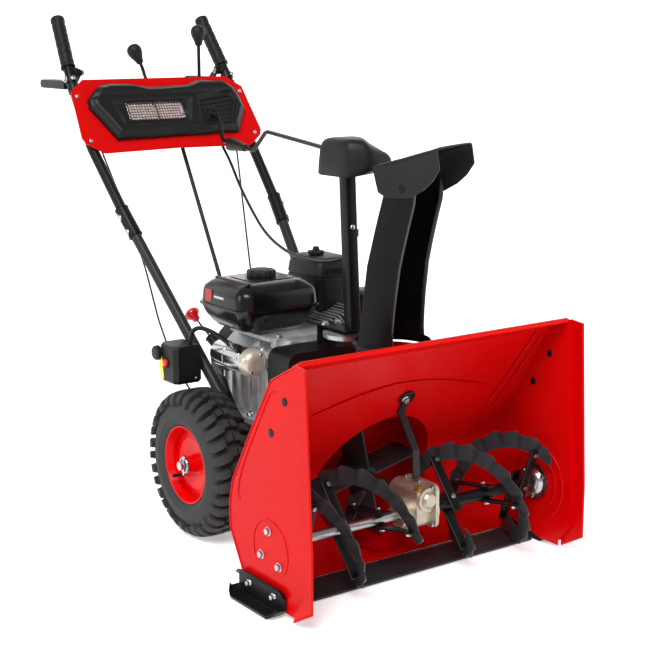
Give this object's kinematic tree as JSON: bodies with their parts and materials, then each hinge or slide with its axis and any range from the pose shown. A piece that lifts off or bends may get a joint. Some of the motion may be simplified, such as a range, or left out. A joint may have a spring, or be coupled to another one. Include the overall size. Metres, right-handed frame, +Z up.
{
  "type": "snow blower",
  "caption": "Walk-behind two-stage snow blower: ribbon auger in an open housing, turning discharge chute, engine, tread wheels and a handlebar dash with lamp.",
  "frame": {"origin": "on the ground under the middle of the bounding box", "axes": "+Z up, +Y rearward towards the operator, +X to the operator's left"},
  "size_m": [0.7594, 1.376, 1.1427],
  "materials": {
    "red_paint": "gloss",
    "rim_red": "gloss",
    "black_steel": "satin",
    "auger_black": "satin",
    "steel": "brushed",
    "zinc": "bright zinc",
    "cast_aluminium": "cast",
    "champagne_cast": "cast",
    "starter_metal": "satin",
    "pulley_iron": "machined",
    "tyre_rubber": "matte",
    "rubber_black": "matte",
    "chute_plastic": "satin",
    "housing_plastic": "matte",
    "tank_gloss": "gloss",
    "knob_red": "gloss",
    "lamp_clear": "clear"
  },
  "bodies": {
    "machine": {"air_box": "housing_plastic", "auger_bearings": "zinc", "belt_cover": "housing_plastic", "chute_post": "black_steel", "clutch_cables": "rubber_black", "crankcase": "cast_aluminium", "cylinder_head": "cast_aluminium", "dash_bezel": "housing_plastic", "dash_panel": "red_paint", "deflector_cable": "rubber_black", "drive_belts": "rubber_black", "fasteners": "zinc", "fuel_tank": "tank_gloss", "gear_hood": "chute_plastic", "gearbox_strut": "black_steel", "gearcase": "champagne_cast", "hand_grips": "rubber_black", "handle_lower_tubes": "black_steel", "handle_upper_tubes": "black_steel", "headlamp": "lamp_clear", "housing_shell": "red_paint", "impeller_drum": "red_paint", "muffler_guard": "black_steel", "recoil_cover": "housing_plastic", "scraper_bar": "black_steel", "side_plate_left": "red_paint", "side_plate_right": "red_paint", "skid_shoes": "black_steel", "starter_cable": "rubber_black", "starter_motor": "starter_metal", "switch_box": "housing_plastic", "tractor_frame": "black_steel"},
    "wheels": {"axle_with_gear": "steel", "tyres": "tyre_rubber", "rims": "rim_red"},
    "cross_shaft": {"hex_shaft": "steel"},
    "friction_wheel": {"friction_wheel": "rubber_black"},
    "drive_disc": {"drive_disc": "pulley_iron"},
    "crankshaft": {"crank_pulley": "pulley_iron"},
    "auger": {"auger_shaft": "black_steel", "worm_wheel": "steel", "auger_flights": "auger_black"},
    "impeller": {"impeller_shaft": "steel", "impeller_fan": "auger_black", "impeller_pulley": "pulley_iron"},
    "chute": {"chute_channel": "chute_plastic"},
    "deflector": {"deflector": "chute_plastic"},
    "deflector_lever": {"deflector_lever": "black_steel"},
    "chute_drive": {"chute_drive_shaft": "steel"},
    "crank": {"crank_rod": "black_steel"},
    "crank_grip": {"crank_grip": "chute_plastic"},
    "speed_lever": {"speed_lever": "black_steel"},
    "shift_rod": {"shift_rod": "black_steel"},
    "paddle_right": {"clutch_paddle_right": "black_steel"},
    "paddle_left": {"clutch_paddle_left": "black_steel"},
    "idler": {"idler_arm": "black_steel"},
    "starter_button": {"starter_button": "knob_red"},
    "fuel_cap": {"fuel_cap": "housing_plastic"},
    "choke": {"choke_knob": "housing_plastic"},
    "recoil": {"recoil_handle": "knob_red"}
  },
  "joints": [
    {"name": "wheel_spin", "type": "hinge", "parent": "machine", "child": "wheels", "pos_m": [0, -0.088, 0.165], "axis": [1, 0, 0], "continuous": true},
    {"name": "cross_shaft_spin", "type": "hinge", "parent": "machine", "child": "cross_shaft", "pos_m": [0, -0.1553, 0.172], "axis": [1, 0, 0], "continuous": true},
    {"name": "friction_wheel_shift", "type": "slide", "parent": "cross_shaft", "child": "friction_wheel", "axis": [1, 0, 0], "range_m": [-0.042, 0.042]},
    {"name": "drive_disc_spin", "type": "hinge", "parent": "machine", "child": "drive_disc", "pos_m": [0, -0.206, 0.172], "axis": [0, 1, 0], "continuous": true},
    {"name": "crankshaft_spin", "type": "hinge", "parent": "machine", "child": "crankshaft", "pos_m": [-0.02, -0.264, 0.35], "axis": [0, 1, 0], "continuous": true},
    {"name": "auger_spin", "type": "hinge", "parent": "machine", "child": "auger", "pos_m": [0, -0.556, 0.138], "axis": [1, 0, 0], "continuous": true},
    {"name": "impeller_spin", "type": "hinge", "parent": "machine", "child": "impeller", "pos_m": [0, -0.388, 0.172], "axis": [0, 1, 0], "continuous": true},
    {"name": "chute_turn", "type": "hinge", "parent": "machine", "child": "chute", "pos_m": [0, -0.478, 0.47], "axis": [0, 0, 1], "range_deg": [-118, 72]},
    {"name": "deflector_tilt", "type": "hinge", "parent": "chute", "child": "deflector", "pos_m": [0.02188, -0.52955, 0.8], "axis": [0.9205, 0.3907, 0], "range_deg": [-12, 50]},
    {"name": "deflector_lever_tilt", "type": "hinge", "parent": "machine", "child": "deflector_lever", "pos_m": [0.142, 0.50189, 0.9274], "axis": [1, 0, 0], "range_deg": [-5, 20.5]},
    {"name": "chute_drive_spin", "type": "hinge", "parent": "machine", "child": "chute_drive", "pos_m": [-0.005, -0.338, 0.64], "axis": [0, 0, 1], "range_deg": [-103, 169]},
    {"name": "crank_spin", "type": "hinge", "parent": "machine", "child": "crank", "pos_m": [-0.009, -0.288, 0.8537], "axis": [0.1782, 0.983, 0.0443], "range_deg": [-283, 463]},
    {"name": "crank_grip_spin", "type": "hinge", "parent": "crank", "child": "crank_grip", "pos_m": [0.08943, 0.255, 0.82414], "axis": [0.1782, 0.983, 0.0443], "continuous": true},
    {"name": "speed_lever_swing", "type": "hinge", "parent": "machine", "child": "speed_lever", "pos_m": [-0.006, 0.4986, 0.92967], "axis": [0, -0.8231, 0.5678], "range_deg": [-25, 25]},
    {"name": "shift_rod_slide", "type": "slide", "parent": "machine", "child": "shift_rod", "axis": [0, 0.488, 0.8728], "range_m": [-0.018, 0.018]},
    {"name": "paddle_right_squeeze", "type": "hinge", "parent": "machine", "child": "paddle_right", "pos_m": [-0.196, 0.524, 0.998], "axis": [1, 0, 0], "range_deg": [0, 38], "stiffness_Nm_per_rad": 1.2},
    {"name": "paddle_left_squeeze", "type": "hinge", "parent": "machine", "child": "paddle_left", "pos_m": [0.196, 0.524, 0.998], "axis": [1, 0, 0], "range_deg": [0, 38], "stiffness_Nm_per_rad": 1.2},
    {"name": "idler_swing", "type": "hinge", "parent": "machine", "child": "idler", "pos_m": [0.118, -0.272, 0.33], "axis": [0, 1, 0], "range_deg": [0, 7]},
    {"name": "starter_button_press", "type": "slide", "parent": "machine", "child": "starter_button", "axis": [1, 0, 0], "range_m": [0, 0.004], "stiffness_N_per_m": 400},
    {"name": "fuel_cap_turn", "type": "hinge", "parent": "machine", "child": "fuel_cap", "pos_m": [-0.058, -0.076, 0.571], "axis": [0, 0, 1], "continuous": true},
    {"name": "choke_turn", "type": "hinge", "parent": "machine", "child": "choke", "pos_m": [0.096, -0.07, 0.606], "axis": [0, 0, 1], "range_deg": [0, 75]},
    {"name": "recoil_pull", "type": "slide", "parent": "machine", "child": "recoil", "axis": [-0.2619, 0.6893, 0.6755], "range_m": [0, 0.04], "stiffness_N_per_m": 60}
  ],
  "couplings": [
    {"joint": "cross_shaft_spin", "follows": "wheel_spin", "ratio": -3.1359},
    {"joint": "friction_wheel_shift", "follows": "speed_lever_swing", "m_per_rad": 0.096},
    {"joint": "shift_rod_slide", "follows": "speed_lever_swing", "m_per_rad": 0.04},
    {"joint": "impeller_spin", "follows": "auger_spin", "ratio": 10},
    {"joint": "chute_drive_spin", "follows": "chute_turn", "ratio": -1.4239},
    {"joint": "crank_spin", "follows": "chute_turn", "ratio": -3.9157},
    {"joint": "deflector_lever_tilt", "follows": "deflector_tilt", "ratio": 0.4},
    {"joint": "idler_swing", "follows": "paddle_right_squeeze", "ratio": 0.18}
  ]
}
